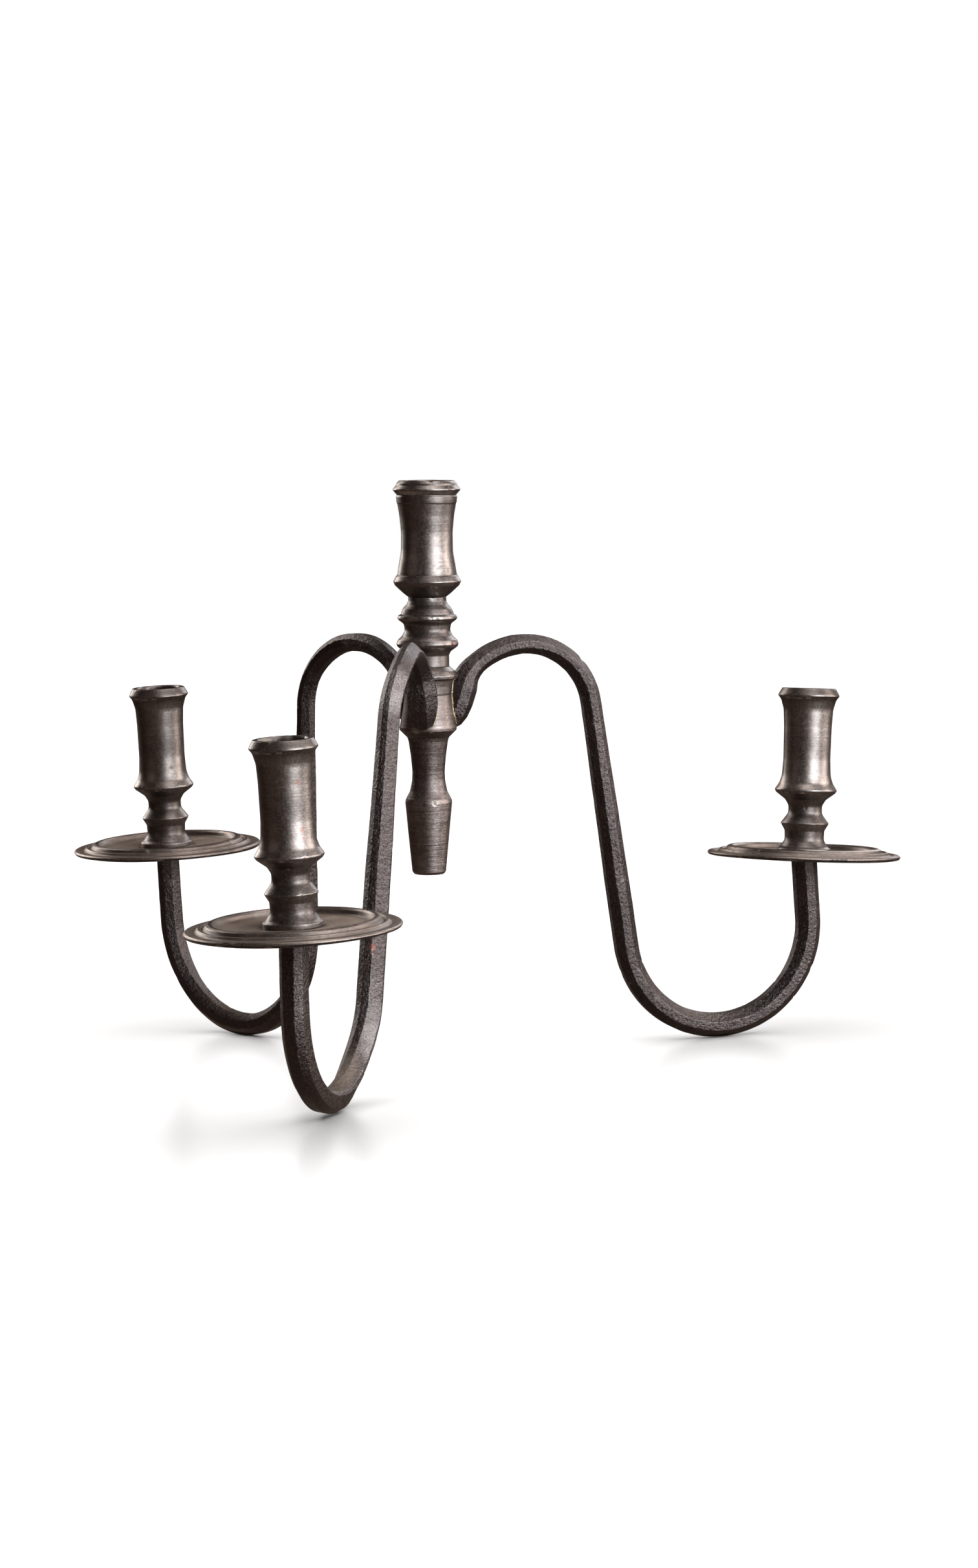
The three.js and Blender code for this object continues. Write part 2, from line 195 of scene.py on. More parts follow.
PAN_SCARS = [
    [(azimuth, 50.0, -0.6, 1.5, 0.4, "soot_and_shade", 1.6) for azimuth in (-96, -93.2, -90.4, -87.6)],
    [(-60, 50.2, 0.2, 3.0, 0.3, "soot_and_shade", 0.5)],
    [(-140, 50.2, 0.2, 3.5, 0.35, "soot_and_shade", 0.5), (-60, 38.6, 4.0, 1.6, 0.25, "rouge", 0.7)],
]
SOCKET_SCARS = [
    [(-120.7, 12.4, 60, 7.5, 0.0, "soot_and_shade", 0.55), (-112, 9.0, 24.5, 1.3, 0.2, "soot_and_shade", 0.8)],
    [(-100, 12.4, 57, 8.0, 0.0, "soot_and_shade", 0.4), (-80, 12.5, 44, 1.5, 0.15, "soot_and_shade", 0.8)],
    [(-78, 12.4, 68, 1.5, 0.0, "rouge", 0.85), (-76, 12.4, 65.5, 1.1, 0.0, "rouge", 0.7),
     (-80, 12.4, 61, 0.9, 0.0, "rouge", 0.7), (-73, 12.4, 52, 1.0, 0.0, "rouge", 0.6),
     (-75, 12.5, 46, 1.7, 0.0, "rouge", 0.7), (-72, 12.6, 42, 1.3, 0.0, "rouge", 0.75),
     (-78, 12.7, 39, 1.1, 0.0, "rouge", 0.7), (-92, 12.4, 58, 6.0, 0.0, "soot_and_shade", 0.35),
     (-79, 16.4, 33.7, 1.2, 0.3, "rouge", 0.8), (120, 11.2, 85, 4.0, 0.0, "dust", 0.8),
     (150, 11.2, 84, 3.0, 0.0, "dust", 0.7), (60, 11.2, 85.5, 2.5, 0.0, "dust", 0.6)],
]


# ---- Mesh helpers ---------------------------------------------------------------------------------

def curve(start, corner, end, steps):
    """Points on a short curve from start to end that rounds off the corner."""
    return [(1 - t) ** 2 * start + 2 * t * (1 - t) * corner + t * t * end
            for t in np.linspace(0, 1, steps)]


def fillet(outline, closed=False, steps=6):
    """A smooth version of an outline of (x, y, radius) corners: each corner becomes a short curve."""
    points = [np.array(corner[:2], float) for corner in outline]
    radii = [corner[2] if len(corner) > 2 else 0 for corner in outline]
    count = len(points)
    result = []
    for i, point in enumerate(points):
        if not closed and i in (0, count - 1) or radii[i] <= 0:
            result.append(point)
            continue
        before, after = points[i - 1] - point, points[(i + 1) % count] - point
        a, b = np.linalg.norm(before), np.linalg.norm(after)
        turn = math.acos(max(-1, min(1, -float(before @ after) / (a * b))))
        reach = min(radii[i] * math.tan(turn / 2), 0.49 * a, 0.49 * b)
        start, end = point + before / a * reach, point + after / b * reach
        result.extend(curve(start, point, end, steps))
    return np.array(result)


def refine(line, longest, closed=False):
    """Adds points to a polyline so that no step is longer than the given length."""
    result = []
    ends = np.vstack([line[1:], line[:1]]) if closed else line[1:]
    for a, b in zip(line, ends):
        pieces = max(1, math.ceil(np.linalg.norm(b - a) / longest))
        result.extend(a + (b - a) * k / pieces for k in range(pieces))
    if not closed:
        result.append(line[-1])
    keep = [result[0]]
    for point in result[1:]:
        if np.linalg.norm(point - keep[-1]) > 1e-4:
            keep.append(point)
    return np.array(keep)


def rings(count, around, closed=False):
    """The quads between neighbouring rings of points, and back to the first ring if closed."""
    faces = []
    for i in range(count if closed else count - 1):
        j = (i + 1) % count
        for k in range(around):
            m = (k + 1) % around
            faces.append((i * around + k, i * around + m, j * around + m, j * around + k))
    return faces


def capped_rings(count, around):
    """The faces of a bar: its rings, and a fan over each end from a point added after the rings."""
    faces = rings(count, around)
    low, high, last = count * around, count * around + 1, (count - 1) * around
    for k in range(around):
        m = (k + 1) % around
        faces.append((low, m, k))
        faces.append((high, last + k, last + m))
    return faces


def build(name, points, faces, matrix, body, material, replaced):
    """Makes the piece, in its own frame, and ties it to its CAD body and nodes."""
    mesh = bpy.data.meshes.new(name)
    mesh.from_pydata([tuple(p) for p in np.asarray(points) * MM], [], faces)
    bm = bmesh.new()
    bm.from_mesh(mesh)
    bmesh.ops.recalc_face_normals(bm, faces=bm.faces)
    bm.to_mesh(mesh)
    bm.free()
    mesh.shade_smooth()
    piece = bpy.data.objects.new(name, mesh)
    bpy.context.scene.collection.objects.link(piece)
    piece.matrix_world = matrix
    mesh.materials.append(material)
    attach(piece, body)
    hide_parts(*replaced)
    return piece


def paint(piece, name, values):
    """Stores one mask on the piece's points, for its material."""
    attribute = piece.data.attributes.new(name, "FLOAT", "POINT")
    attribute.data.foreach_set("value", np.asarray(values, np.float32))


def nick(points, normals, rng, candidates, count, size, depth):
    """Presses small dents into the points around places picked from the candidates."""
    dents = np.zeros(len(points))
    if count and len(candidates):
        for place in rng.choice(candidates, count):
            reach = rng.uniform(*size)
            far = np.linalg.norm(points - points[place], axis=1) / reach
            dents += rng.uniform(*depth) * np.clip(1 - far ** 2, 0, 1) ** 2
    return points - normals * dents[:, None], dents


def scar(points, normals, shown, place, size, depth, kind, strength):
    """Presses one dent in at a chosen place and paints it."""
    near = np.clip(1 - (np.linalg.norm(points - np.array(place), axis=1) / size) ** 2, 0, 1)
    shown[kind] = np.maximum(shown[kind], strength * near)
    return points - normals * (depth * near ** 2)[:, None]


def blank(count):
    return {kind: np.zeros(count) for kind in MASKS}


def revolve(name, outline, matrix, body, material, replaced, seed, segments=144, step=1.0,
            ring=False, wobble=0.03, nicks=18, nick_size=(0.7, 1.8), nick_depth=(0.08, 0.3),
            shade=None, scars=()):
    """A turned piece: the outline swept round Z, a touch out of true, its corners nicked.

    The outline is (radius, height, corner radius). A ring's outline is closed, and others start and end
    on the axis. The shade gives the soot and painted shade mask, and the dust, from (radius, height,
    up).
    """
    rng = np.random.default_rng(seed)
    line = refine(fillet(outline, closed=ring), step, closed=ring)
    count = len(line)
    before, after = np.roll(line, 1, 0), np.roll(line, -1, 0)
    if not ring:
        before[0], after[-1] = line[0], line[-1]
    tangent = after - before
    tangent /= np.maximum(np.linalg.norm(tangent, axis=1), 1e-9)[:, None]
    area = np.sum(line[:, 0] * (after[:, 1] - before[:, 1]))
    side = 1 if area > 0 else -1
    normal = np.stack([tangent[:, 1], -tangent[:, 0]], 1) * side

    angle = np.arange(segments) * 2 * math.pi / segments
    radius, height = np.repeat(line[:, 0], segments), np.repeat(line[:, 1], segments)
    out, up = np.repeat(normal[:, 0], segments), np.repeat(normal[:, 1], segments)
    turn = np.tile(angle, count)
    swell = np.zeros(len(radius))
    for k in range(1, 6):
        phase, slide = rng.uniform(0, 2 * math.pi), rng.uniform(-0.12, 0.12)
        swell += wobble / k * np.sin(k * turn + phase + slide * height)
    swell *= np.clip(radius / 4 - 1, 0, 1)
    cos, sin = np.cos(turn), np.sin(turn)
    swollen = radius + out * swell
    points = np.stack([swollen * cos, swollen * sin, height + up * swell], 1)
    normals = np.stack([out * cos, out * sin, up], 1)

    bend = np.zeros(count)
    here, change = tangent[1:-1], tangent[2:] - tangent[:-2]
    bend[1:-1] = (here[:, 0] * change[:, 1] - here[:, 1] * change[:, 0]) * side
    corners = np.repeat((bend > NICKED_BEND) & (line[:, 0] > NICKED_RADIUS), segments)
    points, dents = nick(points, normals, rng, np.flatnonzero(corners), nicks, nick_size, nick_depth)
    shown = blank(len(points))
    shown["wear_and_highlight"] = np.clip(dents / BRIGHT_DENT, 0, 1)
    if shade:
        for kind, values in shade(radius, height, up).items():
            shown[kind] = np.clip(values, 0, 1)
    for azimuth, r, z, size, depth, kind, strength in scars:
        place = (r * math.cos(math.radians(azimuth)), r * math.sin(math.radians(azimuth)), z)
        points = scar(points, normals, shown, place, size, depth, kind, strength)

    axis, ends = {}, []
    for i in range(count):
        if not ring and line[i, 0] < 1e-6:
            axis[i] = len(points) + len(ends)
            ends.append([0, 0, line[i, 1]])
    points = np.vstack([points, ends]) if ends else points
    faces = []
    for a, b, c, d in rings(count, segments, closed=ring):
        start, end = axis.get(a // segments), axis.get(c // segments)
        if start is None and end is None:
            faces.append((a, b, c, d))
        elif end is None:
            faces.append((start, c, d))
        elif start is None:
            faces.append((a, b, end))
    used = sorted({v for face in faces for v in face})
    renumber = {old: new for new, old in enumerate(used)}
    faces = [tuple(renumber[v] for v in face) for face in faces]
    piece = build(name, points[used], faces, matrix, body, material, replaced)
    for kind, values in shown.items():
        paint(piece, kind, np.append(values, np.zeros(len(ends)))[used])


# ---- Arm shapes -----------------------------------------------------------------------------------

def smoothstep(value, low, high):
    """0 up to low, 1 from high on, and an easy rise between them."""
    t = np.clip((value - low) / (high - low), 0, 1)
    return t * t * (3 - 2 * t)


def arc(cx, cy, radius, start, end, step):
    """Points round part of a circle, no further apart than the step."""
    count = max(3, math.ceil(abs(end - start) * radius / step))
    turn = np.linspace(start, end, count)
    return np.stack([cx + radius * np.cos(turn), cy + radius * np.sin(turn)], 1)


def centreline(arm, step):
    """The arm's centreline in its upright plane, from the foot's tip to the pan, as close points."""
    lean, rise = math.radians(arm["leg_lean"]), math.radians(arm["rise_lean"])
    radius, height = CREST["radius"], CREST["height"]
    inner, outer = CREST["inner"], CREST["outer"]
    crest = math.pi / 2 + math.radians(FOOT["crest_turn"])
    heel = crest + math.radians(FOOT["heel_turn"])
    polar = lambda x, y, r, a: np.array([x + r * math.cos(a), y + r * math.sin(a)])

    start = polar(radius, height - inner, inner, crest)
    centre = polar(*start, -FOOT["heel"], crest)
    ankle = polar(*centre, FOOT["heel"], heel)
    tip = polar(*ankle, FOOT["length"], math.pi / 2 + heel)
    outer_x = radius + arm["stretch"]
    top = polar(outer_x, height - outer, outer, lean)
    across = (arm["reach"] - top[0] + (arm["bend"] - top[1]) * math.tan(lean)
              - (arm["bend"] - arm["pan"]) * math.tan(rise))
    share = (1 - math.sin(lean)) / math.cos(lean) + (1 + math.sin(rise)) / math.cos(rise)
    bend = across / share
    bend_y = arm["bend"] + bend
    bend_x = arm["reach"] - (bend + (bend_y - arm["pan"]) * math.sin(rise)) / math.cos(rise)
    corners = np.vstack([
        tip[None], ankle[None],
        arc(*centre, FOOT["heel"], heel, crest, step),
        arc(radius, height - inner, inner, crest, math.pi / 2, step),
        arc(outer_x, height - outer, outer, math.pi / 2, lean, step),
        arc(bend_x, bend_y, bend, math.pi + lean, 2 * math.pi + rise, step),
        [[arm["reach"], arm["pan"]]],
    ])
    line = refine(corners, step)
    for _ in range(12):
        line[2:-2] = (line[1:-3] + 2 * line[2:-2] + line[3:-1]) / 4
    return line


def carried(arm, line):
    """The centreline in space, with the arm's direction, swing and hang."""
    out = smoothstep(line[:, 0], *SWING_RADII)
    aside = math.tan(math.radians(arm["hang"])) * (line[:, 1] - arm["pan"]) * out
    swing = math.radians(arm["swing"]) * (1 - out) + math.radians(arm["azimuth"])
    x, y = line[:, 0], aside
    return np.stack([x * np.cos(swing) - y * np.sin(swing),
                     x * np.sin(swing) + y * np.cos(swing), line[:, 1]], 1)


def octagon(offsets):
    """One section of the bar about (0, 0), its flats at the given distances, its corners rounded."""
    angles = np.arange(8) * math.pi / 4
    normals = np.stack([np.cos(angles), np.sin(angles)], 1)
    corners = []
    for i in range(8):
        j = (i + 1) % 8
        corners.append(np.linalg.solve(np.stack([normals[i], normals[j]]), [offsets[i], offsets[j]]))
    trim = BAR_CORNER * math.tan(math.pi / 8)
    result = []
    for i in range(8):
        here, before, after = corners[i], corners[i - 1], corners[(i + 1) % 8]
        back, ahead = before - here, after - here
        a, b = np.linalg.norm(back), np.linalg.norm(ahead)
        reach = min(trim, 0.45 * a, 0.45 * b)
        start, end = here + back / a * reach, here + ahead / b * reach
        result.extend(curve(start, here, end, CORNER_POINTS))
        stop = after - ahead / b * min(trim, 0.45 * b)
        for t in np.linspace(0, 1, FLAT_POINTS + 2)[1:-1]:
            result.append(end + (stop - end) * t)
    return np.array(result)


def slow_noise(rng, along, pitch, size):
    """A smooth random wave along the bar."""
    knots = np.arange(along[0] - pitch, along[-1] + 2 * pitch, pitch)
    values = rng.normal(0, size, len(knots))
    place = (along - knots[0]) / pitch
    i = np.clip(place.astype(int), 0, len(knots) - 2)
    t = smoothstep(place - i, 0, 1)
    return values[i] * (1 - t) + values[i + 1] * t


def bar_surface(arm, rng, flats):
    """The arm's surface as a grid of points: one row per station, one column round the section."""
    line = centreline(arm, BAR_STEP)
    at = carried(arm, line)
    along = np.gradient(at, axis=0)
    distance = np.concatenate([[0], np.cumsum(np.linalg.norm(np.diff(at, axis=0), axis=1))])
    along /= np.linalg.norm(along, axis=1)[:, None]
    sideways = np.stack([-at[:, 1], at[:, 0], np.zeros(len(at))], 1)
    sideways -= along * np.sum(sideways * along, 1)[:, None]
    sideways /= np.linalg.norm(sideways, axis=1)[:, None]
    outward = np.cross(along, sideways)
    width = arm["girth"] * np.interp(distance, *zip(*BAR_WIDTHS))
    waves = np.stack([sum(slow_noise(rng, distance, *wave) for wave in FLAT_WAVES)
                      for _ in range(8)], 1)
    twist = slow_noise(rng, distance, *TWIST_WAVE)
    twist += np.radians(np.interp(distance, *zip(*arm["twist"])))
    rows, normals = [], []
    for i in range(len(at)):
        half = width[i] / 2
        shown = min(1, distance[i] / WAVES_FADE_IN)
        section = octagon([half * BAR_SECTION[k] - (flats[k] + waves[i, k]) * shown
                           for k in range(8)])
        cos, sin = math.cos(twist[i]), math.sin(twist[i])
        x = section[:, 0] * cos - section[:, 1] * sin
        y = section[:, 0] * sin + section[:, 1] * cos
        away = x[:, None] * outward[i] + y[:, None] * sideways[i]
        rows.append(at[i] + away)
        normals.append(away / np.linalg.norm(away, axis=1)[:, None])
    return np.array(rows), np.array(normals), along, distance


def spool_radius(height):
    radii, heights = zip(*SPOOL_SIDE)
    return np.interp(height, heights, radii)


def make_arm(index, material, braze):
    """The arm's bar, cut square to the joint's axis under its pan, and the braze round its foot."""
    arm = ARMS[index]
    number = index + 1
    rng = np.random.default_rng(40 + index)
    rows, normals, along, distance = bar_surface(arm, rng, FLAT_WEAR[index])

    joint = JOINTS[f"socket_{number}_turn"]
    centre, axis = np.array(joint["pos_m"]) / MM, np.array(joint["axis"])
    seat = PAN_SEAT - GAP
    height = (rows - centre) @ axis
    last = int(np.flatnonzero(height.max(1) < seat - BAR_CLEARANCE)[-1])
    rows, normals = rows[:last + 1], normals[:last + 1]
    lift = (seat - (rows[-1] - centre) @ axis) / float(along[last] @ axis)
    rim = rows[-1] + lift[:, None] * along[last]
    inwards = rim.mean(0) - rim
    rim_low = rim - BAR_CHAMFER * axis
    rim_high = rim + inwards / np.linalg.norm(inwards, axis=1)[:, None] * BAR_CHAMFER
    rows = np.concatenate([rows, rim_low[None], rim_high[None]])
    normals = np.concatenate([normals, normals[-1:], normals[-1:]])

    count, around = rows.shape[:2]
    points, flat_normals = rows.reshape(-1, 3), normals.reshape(-1, 3)
    is_corner = np.tile(np.arange(around) % SIDE_POINTS < CORNER_POINTS, count)
    below_rim = np.repeat(np.arange(count), around) < count - 4
    points, dents = nick(points, flat_normals, rng, np.flatnonzero(is_corner & below_rim),
                         ARM_NICKS, ARM_NICK_SIZE, ARM_NICK_DEPTH)
    shown = blank(len(points))
    shown["wear_and_highlight"] = np.clip(dents / BRIGHT_DENT, 0, 1)
    facing_up, low = flat_normals[:, 2], -points[:, 2]
    # Painted shade darkens the arm's underside and one flat of the near arm along its leg.
    shown["soot_and_shade"] = UNDERSIDE_SHADE * np.clip(-facing_up, 0, 1)
    if index in SHADED_FLAT:
        flat = (np.arange(around) // SIDE_POINTS + 1) % 8
        on_flat = (flat == SHADED_FLAT[index]) & (np.arange(around) % SIDE_POINTS > 1)
        on_leg = smoothstep(low, *SHADED_FROM) * (1 - smoothstep(low, *SHADED_TO))
        shown["soot_and_shade"] += FLAT_SHADE * np.tile(on_flat, count) * on_leg
    lying = smoothstep(facing_up, *DUSTY_SLOPE) * smoothstep(low, *DUSTY_FROM)
    shown["dust"] = BEND_DUST[index] * lying
    for x, y, z, size, depth, kind, strength in ARM_SCARS[index]:
        points = scar(points, flat_normals, shown, (x, y, z), size, depth, kind, strength)
    points = np.vstack([points, rows[0].mean(0), rows[-1].mean(0)])
    piece = build(f"arm_bar_{number}", points, capped_rings(count, around), UPRIGHT, "head",
                  material, [f"arm_{number}"])
    for kind, values in shown.items():
        paint(piece, kind, np.append(values, [0, 0]))
    make_bead(number, rows, distance, braze, rng)


def make_bead(number, rows, distance, material, rng):
    """The bead of braze along the line where the foot's flats run into the spool."""
    reach = int(np.searchsorted(distance, FOOT_REACH))
    left, right = [], []
    half = rows.shape[1] // 2
    for row in rows[1:reach]:
        clear = np.hypot(row[:, 0], row[:, 1]) - spool_radius(row[:, 2])
        sign = clear > 0
        change = np.flatnonzero(sign != np.roll(sign, -1))
        if len(change) != 2:
            continue
        found = []
        for k in change:
            m = (k + 1) % len(row)
            t = clear[k] / (clear[k] - clear[m])
            found.append((k, row[k] + (row[m] - row[k]) * t))
        found.sort(key=lambda item: item[0] < half)
        if found[0][1][2] < SPOOL_TOP:
            right.append(found[0][1])
            left.append(found[1][1])
    loop = refine(np.array(left + right[::-1]), BEAD_STEP, closed=True)
    for _ in range(6):
        loop = (np.roll(loop, 1, 0) + 2 * loop + np.roll(loop, -1, 0)) / 4
    loop = refine(loop, BEAD_STEP, closed=True)
    count = len(loop)
    place = np.arange(count) * BEAD_STEP
    lumps = 0.16 * slow_noise(rng, place, 3.1, 1.0) + 0.1 * slow_noise(rng, place, 1.3, 1.0)
    size = np.clip(BEAD_RADIUS + lumps, *BEAD_LIMITS)
    tangent = np.roll(loop, -1, 0) - np.roll(loop, 1, 0)
    tangent /= np.linalg.norm(tangent, axis=1)[:, None]
    radial = np.stack([loop[:, 0], loop[:, 1], np.zeros(count)], 1)
    radial -= tangent * np.sum(radial * tangent, 1)[:, None]
    radial /= np.linalg.norm(radial, axis=1)[:, None]
    binormal = np.cross(tangent, radial)
    points = []
    for at, reach, out, aside in zip(loop, size, radial, binormal):
        for k in range(BEAD_POINTS):
            turn = 2 * math.pi * k / BEAD_POINTS
            points.append(at + reach * (math.cos(turn) * out + math.sin(turn) * aside))
    build(f"braze_bead_{number}", points, rings(count, BEAD_POINTS, closed=True), UPRIGHT, "head",
          material, [f"arm_braze_{number}"])


def make_thread(name, radius, bottom, top, matrix, material, node):
    """A threaded stud: a screw ridge that fades out at both chamfered ends."""
    around = 40
    count = int(round((top - bottom) / (THREAD_PITCH / 8))) + 1
    points = []
    for z in np.linspace(bottom, top, count):
        chamfer = max(0, THREAD_CHAMFER - min(z - bottom, top - z))
        for k in range(around):
            share = (z / THREAD_PITCH - k / around) % 1
            r = radius - THREAD_DEPTH * (1 - abs(2 * share - 1)) - chamfer
            turn = 2 * math.pi * k / around
            points.append((r * math.cos(turn), r * math.sin(turn), z))
    points += [(0, 0, bottom), (0, 0, top)]
    build(name, points, capped_rings(count, around), matrix, "head", material, [node])


# ---- Materials --------------------------------------------------------------------------------------

# The colour of a scar, the depth of the finest marks in metres, and the roughness of the dull film
# over the metal.
COPPER = "#7d4b3e"
BUMP_DEPTH = 0.00012
COAT_ROUGHNESS = 0.3


class Graph:
    """A small helper for building a material's nodes. Its mm are the object's own millimetres."""

    def __init__(self, name):
        self.material = bpy.data.materials.new(name)
        self.material.use_nodes = True
        self.tree = self.material.node_tree
        self.tree.nodes.clear()
        self.coordinates = self.node("ShaderNodeTexCoord").outputs["Object"]
        self.mm = self.vector("SCALE", self.coordinates, Scale=1000.0)

    def node(self, kind, **inputs):
        node = self.tree.nodes.new(kind)
        for key, value in inputs.items():
            self.put(node, key, value)
        return node

    def put(self, node, key, value):
        socket = node.inputs[key]
        if isinstance(value, bpy.types.NodeSocket):
            self.tree.links.new(value, socket)
        else:
            socket.default_value = value

    def vector(self, operation, a, b=None, Scale=None):
        node = self.tree.nodes.new("ShaderNodeVectorMath")
        node.operation = operation
        self.put(node, 0, a)
        if b is not None:
            self.put(node, 1, b)
        if Scale is not None:
            self.put(node, "Scale", Scale)
        return node.outputs["Value" if operation in ("LENGTH", "DOT_PRODUCT") else "Vector"]

    def math(self, operation, a, b=None, clamp=False):
        node = self.tree.nodes.new("ShaderNodeMath")
        node.operation = operation
        node.use_clamp = clamp
        self.put(node, 0, a)
        if b is not None:
            self.put(node, 1, b)
        return node.outputs[0]

    def span(self, value, low, high, to_low=0.0, to_high=1.0):
        """Maps low..high to to_low..to_high, and holds the ends. Low may be the larger one."""
        node = self.node("ShaderNodeMapRange")
        for key, item in (("Value", value), ("From Min", low), ("From Max", high),
                          ("To Min", to_low), ("To Max", to_high)):
            self.put(node, key, item)
        return node.outputs["Result"]

    def noise(self, vector, scale, detail=3.0, roughness=0.55, distortion=0.0):
        node = self.node("ShaderNodeTexNoise", Vector=vector, Scale=scale, Detail=detail,
                         Roughness=roughness, Distortion=distortion)
        return node.outputs["Fac"]

    def painted(self, kind):
        node = self.tree.nodes.new("ShaderNodeAttribute")
        node.attribute_name = kind
        return node.outputs["Fac"]

    def mix(self, factor, a, b):
        node = self.tree.nodes.new("ShaderNodeMix")
        node.data_type = "RGBA"
        self.put(node, 0, factor)
        self.put(node, 6, a)
        self.put(node, 7, b)
        return node.outputs[2]


def srgb(code):
    """A "#rrggbb" colour as linear RGBA."""
    channels = [int(code[i:i + 2], 16) / 255 for i in (1, 3, 5)]
    linear = [c / 12.92 if c <= 0.04045 else ((c + 0.055) / 1.055) ** 2.4 for c in channels]
    return (*linear, 1.0)


def patinated(name, base, dark, bright, rough, lines=0.0, grain=0.0, dust=0.0, dust_color="#6d6253",
              grain_scale=2.6, line_scale=1.5, mottling=0.5, line_depth=1.0, coat=0.35, pits=0.5):
    """Old metal: dark in its hollows, rubbed bright on its edges, mottled, with tool marks.

    The base, dark and bright colours are mixed by noises about 20, 6 and 1 mm across, by the turning
    marks, the shape's edges and hollows, and the painted masks, which carry painted shade and painted
    highlights besides soot, wear, dust and stains.
    """
    g = Graph(name)
    split = g.node("ShaderNodeSeparateXYZ", Vector=g.mm)
    flat = g.node("ShaderNodeCombineXYZ", X=split.outputs[0], Y=split.outputs[1], Z=0.0).outputs[0]
    radius = g.vector("LENGTH", flat)
    turn = g.math("ARCTAN2", split.outputs[1], split.outputs[0])
    ringed = g.node("ShaderNodeCombineXYZ", X=radius, Y=g.math("MULTIPLY", turn, 0.35),
                    Z=split.outputs[2]).outputs[0]

    # The noises, from the coarsest to the finest, and the marks left by turning as rings.
    mottle = g.noise(g.mm, 0.05, 5.0, 0.62, 0.6)
    stain = g.noise(g.mm, 0.16, 4.0, 0.6, 1.2)
    fine = g.noise(g.mm, 0.9, 4.0, 0.65)
    speck = g.noise(g.mm, grain_scale, 3.0, 0.7)
    marks = g.noise(ringed, line_scale, 4.0, 0.75)

    # Where the shape has edges and hollows, and where soot and painted shade lie, broken up by the fine
    # noise.
    point = g.node("ShaderNodeNewGeometry").outputs["Pointiness"]
    edge = g.math("MULTIPLY", g.span(point, 0.508, 0.56), g.span(fine, 0.35, 0.6, 0.3, 1.0))
    hollow = g.span(point, 0.495, 0.44)
    soot_and_shade = g.math("MULTIPLY", g.painted("soot_and_shade"), g.span(fine, 0.3, 0.65, 1.1, 0.7), clamp=True)

    # The colour: each layer is (where, how much, colour) and lies over those before it.
    layers = [
        (g.span(mottle, 0.62, 0.36), mottling, dark),
        (g.span(stain, 0.52, 0.66), 0.55 * mottling, dark),
        (g.span(fine, 0.45, 0.75), 0.22, bright),
    ]
    if lines:
        layers += [(g.span(marks, 0.52, 0.75), 0.3 * line_depth, bright),
                   (g.span(marks, 0.46, 0.27), 0.5 * line_depth, dark)]
    copper = g.math("MULTIPLY", g.painted("rouge"), 2.2)
    copper = g.math("SUBTRACT", copper, g.span(fine, 0.3, 0.7), clamp=True)
    # Pits, soot with painted shade, rubbed edges, patina in the hollows, wear with painted highlights,
    # copper stains.
    layers += [
        (g.span(speck, 0.48, 0.3), pits, dark),
        (soot_and_shade, 0.9, dark),
        (edge, 0.6, bright),
        (hollow, 0.8, dark),
        (g.painted("wear_and_highlight"), 0.15, bright),
        (copper, 0.8, COPPER),
    ]
    tone = srgb(base)
    for mask, share, color in layers:
        tone = g.mix(g.math("MULTIPLY", mask, share), tone, srgb(color))

    # Duller in hollows, in soot and painted shade and in stains, smoother on rubbed edges.
    roughness = g.span(fine, 0.3, 0.7, rough - 0.06, rough + 0.08)
    roughness = g.math("ADD", roughness, g.math("MULTIPLY", hollow, 0.15))
    roughness = g.math("ADD", roughness, g.math("MULTIPLY", soot_and_shade, 0.12))
    roughness = g.math("ADD", roughness, g.span(stain, 0.5, 0.66, 0.0, 0.08))
    roughness = g.math("SUBTRACT", roughness, g.math("MULTIPLY", edge, 0.08), clamp=True)

    # Dust hides the metal under a dull layer of its own colour.
    shine, film = 1.0, coat
    if dust:
        lying = g.math("MULTIPLY", g.painted("dust"), g.span(mottle, 0.3, 0.6, 0.6, 1.0))
        lying = g.math("MULTIPLY", lying, g.span(fine, 0.3, 0.65, 1.0, 0.5))
        lying = g.math("MULTIPLY", lying, g.span(edge, 0.0, 1.0, 1.0, 0.3))
        lying = g.math("MULTIPLY", lying, dust)
        tone = g.mix(lying, tone, srgb(dust_color))
        shine = g.span(lying, 0.0, 1.0, 1.0, 0.0)
        film = g.span(lying, 0.0, 0.7, coat, 0.0)
        roughness = g.math("ADD", roughness, g.math("MULTIPLY", lying, 0.3), clamp=True)

    # The relief of the marks and the grain.
    height = g.math("ADD", g.math("MULTIPLY", marks, lines), g.math("MULTIPLY", speck, grain))
    height = g.math("ADD", height, g.math("MULTIPLY", fine, 0.10))
    bump = g.node("ShaderNodeBump", Strength=1.0, Distance=BUMP_DEPTH, Height=height)

    shader = g.node("ShaderNodeBsdfPrincipled", **{
        "Base Color": tone, "Roughness": roughness, "Metallic": shine, "Normal": bump.outputs[0],
        "Coat Weight": film, "Coat Roughness": COAT_ROUGHNESS, "Coat Normal": bump.outputs[0]})
    output = g.node("ShaderNodeOutputMaterial")
    g.tree.links.new(shader.outputs[0], output.inputs["Surface"])
    return g.material


